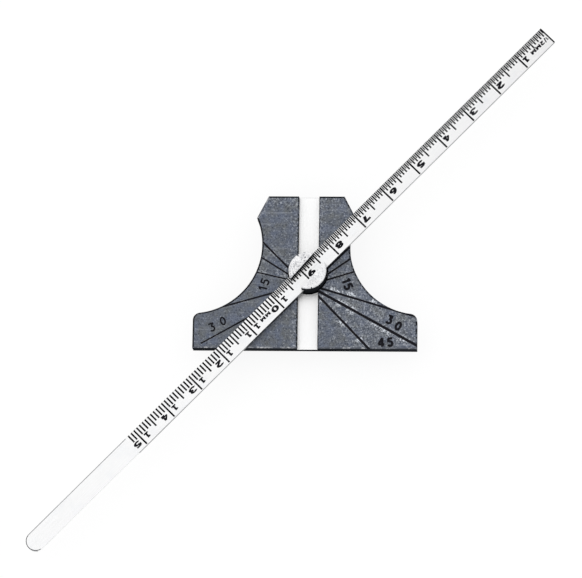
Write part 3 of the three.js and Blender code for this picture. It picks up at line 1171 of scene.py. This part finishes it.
def makeNut():
    s = nutSizes
    bottom, top = (corner.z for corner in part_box("clamp_nut"))
    nut = addRod("knurledNut", s["radius"], bottom, top, 176, turnedSteel)
    for level in (bottom, top):
        bevelRim(nut, level, s["chamfer"])
    softenEdges(nut, s["edge"], segments=1, degrees=35)
    flutes = []
    for i in range(s["flutes"]):
        flute = addRod("flute", s["fluteWidth"] / 2, bottom - overrun, top + overrun, 4, turnedSteel)
        out = s["radius"] - s["fluteDepth"] + s["fluteWidth"] / 2
        flute.data.transform(Matrix.Translation((out, 0, 0)))
        turnPiece(flute, 2 * math.pi * (i + 0.5) / s["flutes"])
        flutes.append(flute)
    cutOut(nut, joined(flutes))
    cutOut(nut, addRod("bore", s["boreRadius"], bottom + s["floor"], top + overrun, 96, turnedSteel))
    turnPiece(nut, ruleTurn)
    finishPiece(nut, "clamp_nut", "clamp_nut")


makeHead()
makeRule()
makeTurret()
makeRuleSpring()
makeWashers()
makeNut()
forgetStrokes()


# Table and light: a white sweep that keeps a faint shadow, and one broad soft lamp


def makeFloor():
    look = {"size": 6, "white": 1.02, "shadowShare": 0.16, "paper": 0.95}
    deselectAll()
    bpy.ops.mesh.primitive_plane_add(size=look["size"], location=(0, 0, 0))
    material = bpy.data.materials.new("tablePaper")
    floor = takeNew("tableTop", material)
    material.use_nodes = True
    tree = material.node_tree
    tree.nodes.clear()
    paper = addNode(tree, "ShaderNodeBsdfDiffuse", {"Color": [look["paper"]] * 3}).outputs[0]
    glow = addNode(tree, "ShaderNodeEmission", {"Strength": look["white"]}).outputs[0]
    both = addNode(tree, "ShaderNodeMixShader", {0: look["shadowShare"], 1: glow, 2: paper}).outputs[0]
    rays = addNode(tree, "ShaderNodeLightPath").outputs
    seen = mathNode(tree, "ADD", rays["Is Camera Ray"], rays["Is Glossy Ray"], clamp=True)
    choose = addNode(tree, "ShaderNodeMixShader", {0: seen, 1: paper, 2: both})
    addNode(tree, "ShaderNodeOutputMaterial", {"Surface": choose.outputs[0]})


# White to the camera, a soft fill to matt surfaces, and to metal a room that is a little darker overhead,
# where the lamp is
def makeWorld():
    look = {"seen": 1, "fill": 0.95, "overhead": 0.5, "around": 0.88}
    world = bpy.data.worlds.new("studio")
    bpy.context.scene.world = world
    world.use_nodes = True
    tree = world.node_tree
    background = tree.nodes["Background"]
    rays = addNode(tree, "ShaderNodeLightPath").outputs
    x, y, z = splitNode(tree, addNode(tree, "ShaderNodeTexCoord").outputs["Generated"])
    room = rampNode(tree, z, 0.55, 0.92, look["around"], look["overhead"])
    inMetal = mathNode(tree, "MULTIPLY", rays["Is Glossy Ray"], room)
    plain = rampNode(tree, rays["Is Camera Ray"], 0, 1, look["fill"], look["seen"])
    matt = mathNode(tree, "SUBTRACT", 1, rays["Is Glossy Ray"])
    other = mathNode(tree, "MULTIPLY", matt, plain)
    feed(tree, background, {"Color": (1, 1, 1), "Strength": mathNode(tree, "ADD", inMetal, other)})


def makeLamp():
    look = {"side": 1, "height": 1.25, "power": 2.4, "place": (-0.35, 0.3)}
    deselectAll()
    bpy.ops.object.light_add(type="AREA", location=(*look["place"], look["height"]))
    lamp = bpy.context.object
    lamp.name = "softLamp"
    lamp.data.size = look["side"]
    lamp.data.energy = look["power"]
    lamp.rotation_euler = (-lamp.location).to_track_quat("-Z", "Y").to_euler()


def makeCamera():
    look = {
        "tiltDegrees": 12,
        "azimuthDegrees": 13.63,
        "rollDegrees": 0.871,
        "distance": 1,
        "lensPixels": 3846.1,
        "targetRight": 17.1,  # the turret's axis from the middle of the picture, in pixels
        "targetUp": 15.65,
        "pictureWidth": 582,
        "sensor": 36,
    }
    tilt, azimuth, roll = (math.radians(look[turn + "Degrees"]) for turn in ("tilt", "azimuth", "roll"))
    back = Vector((math.sin(azimuth) * math.sin(tilt), -math.cos(azimuth) * math.sin(tilt), math.cos(tilt)))
    level = Vector((0, 1, 0))
    up = (level - back * level.dot(back)).normalized()
    right = up.cross(back)
    rolledRight = math.cos(roll) * right + math.sin(roll) * up
    rolledUp = math.cos(roll) * up - math.sin(roll) * right
    target = Vector((0, 0, headFace))
    data = bpy.data.cameras.new("camera")
    camera = bpy.data.objects.new("camera", data)
    bpy.context.scene.collection.objects.link(camera)
    turn = Matrix((rolledRight, rolledUp, back)).transposed().to_4x4()
    camera.matrix_world = Matrix.Translation(target + back * look["distance"]) @ turn
    data.sensor_width = look["sensor"]
    data.lens = look["lensPixels"] * look["sensor"] / look["pictureWidth"]
    data.shift_x = -look["targetRight"] / look["pictureWidth"]
    data.shift_y = -look["targetUp"] / look["pictureWidth"]
    bpy.context.scene.camera = camera


makeFloor()
makeWorld()
makeLamp()
makeCamera()
bpy.context.scene.view_settings.view_transform = "Standard"
print("stage, light and camera made")
